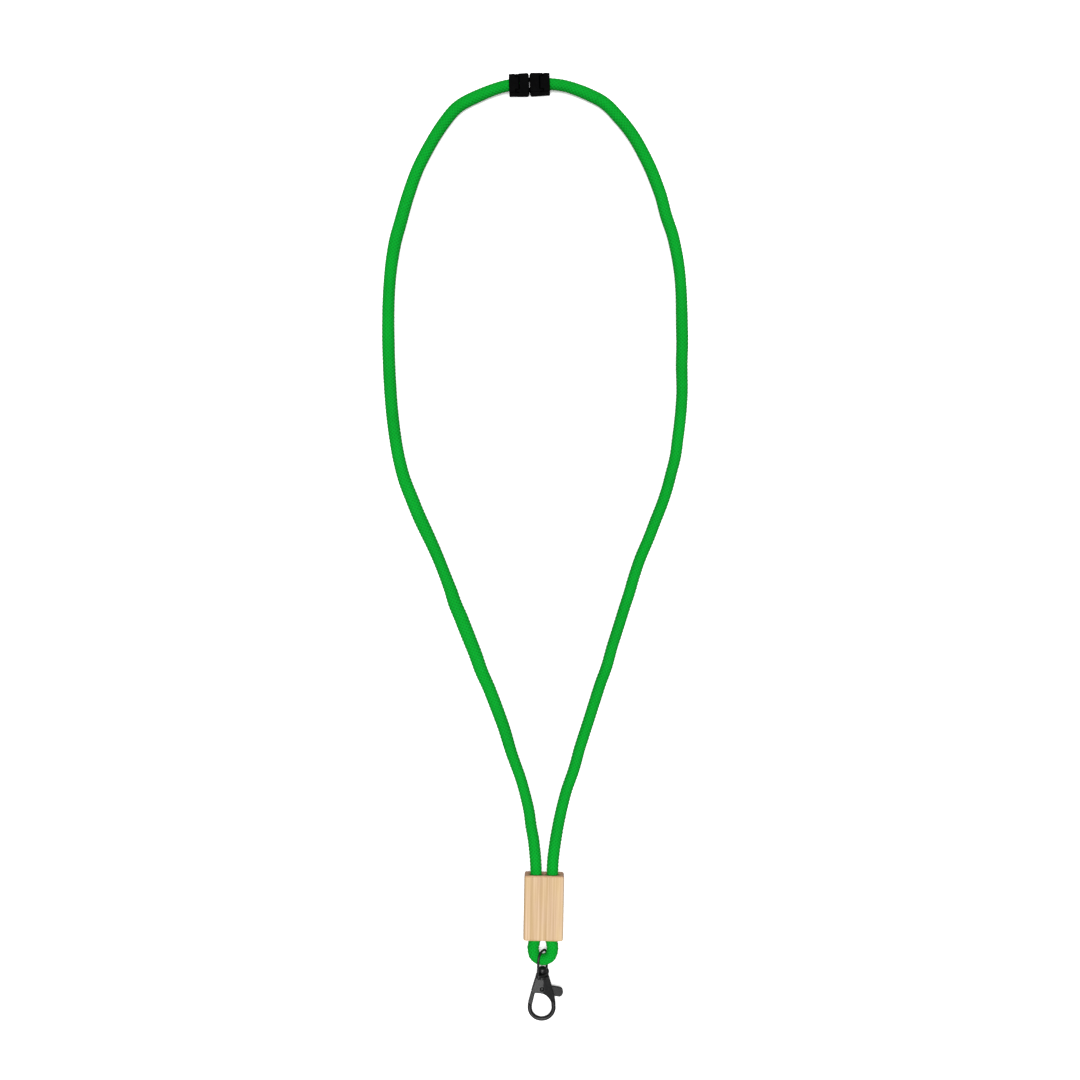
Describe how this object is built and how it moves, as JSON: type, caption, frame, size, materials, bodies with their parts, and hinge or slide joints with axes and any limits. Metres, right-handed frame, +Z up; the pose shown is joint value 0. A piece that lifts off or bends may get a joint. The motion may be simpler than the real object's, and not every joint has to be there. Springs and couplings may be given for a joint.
{
  "type": "lanyard badge holder",
  "caption": "Round braided neck cord with a breakaway clasp, a rectangular bamboo slide block and a swivelling trigger hook for a badge.",
  "frame": {"origin": "middle of the bamboo block's flat back face, on the table the lanyard lies on", "axes": "+Y along the block towards the clasp, +Z up out of the block's front face, +X to the right seen from above"},
  "size_m": [0.153, 0.4711, 0.012],
  "materials": {
    "green_braid": "matt, fine round braid",
    "bamboo": "sanded, with fine lengthways fibres",
    "black_plastic": "matt moulded",
    "gunmetal": "dark gunmetal plating, satin",
    "spring_steel": "drawn wire"
  },
  "bodies": {
    "cord_and_socket": {"cord": "green_braid", "clasp_socket_body": "black_plastic"},
    "socket_lid": {"clasp_socket_lid": "black_plastic"},
    "plug": {"clasp_plug_body": "black_plastic"},
    "plug_lid": {"clasp_plug_lid": "black_plastic"},
    "block": {"bamboo_block": "bamboo"},
    "eye": {"swivel_eye": "gunmetal"},
    "hook": {"hook_body": "gunmetal", "swivel_rivet": "gunmetal", "gate_pin": "gunmetal", "gate_spring": "spring_steel"},
    "gate": {"gate_lever": "gunmetal"}
  },
  "joints": [
    {"name": "breakaway_release", "type": "slide", "parent": "cord_and_socket", "child": "plug", "axis": [0.9986, 0.0523, 0], "range_m": [0, 0.01], "deforming": ["cord"]},
    {"name": "socket_lid_open", "type": "hinge", "parent": "cord_and_socket", "child": "socket_lid", "pos_m": [-0.02064, 0.4073, 0.00785], "axis": [-0.0523, 0.9986, 0], "range_deg": [0, 100]},
    {"name": "plug_lid_open", "type": "hinge", "parent": "plug", "child": "plug_lid", "pos_m": [-0.00916, 0.4079, 0.00785], "axis": [0.0523, -0.9986, 0], "range_deg": [0, 100]},
    {"name": "block_slide", "type": "slide", "parent": "cord_and_socket", "child": "block", "axis": [0, 1, 0], "range_m": [-0.001, 0.008], "deforming": ["cord"]},
    {"name": "eye_swing", "type": "hinge", "parent": "cord_and_socket", "child": "eye", "pos_m": [0, -0.0264, 0.006], "axis": [1, 0, 0], "range_deg": [-80, 65], "deforming": ["cord"]},
    {"name": "hook_swivel", "type": "hinge", "parent": "eye", "child": "hook", "pos_m": [0, -0.0264, 0.006], "axis": [0, 0.988, 0.1547], "continuous": true},
    {"name": "gate_open", "type": "hinge", "parent": "hook", "child": "gate", "pos_m": [0, -0.04102, 0.00371], "axis": [0, -0.1547, 0.988], "range_deg": [0, 25], "stiffness_Nm_per_rad": 0.015, "springref_deg": -20.05, "deforming": ["gate_spring"]}
  ]
}
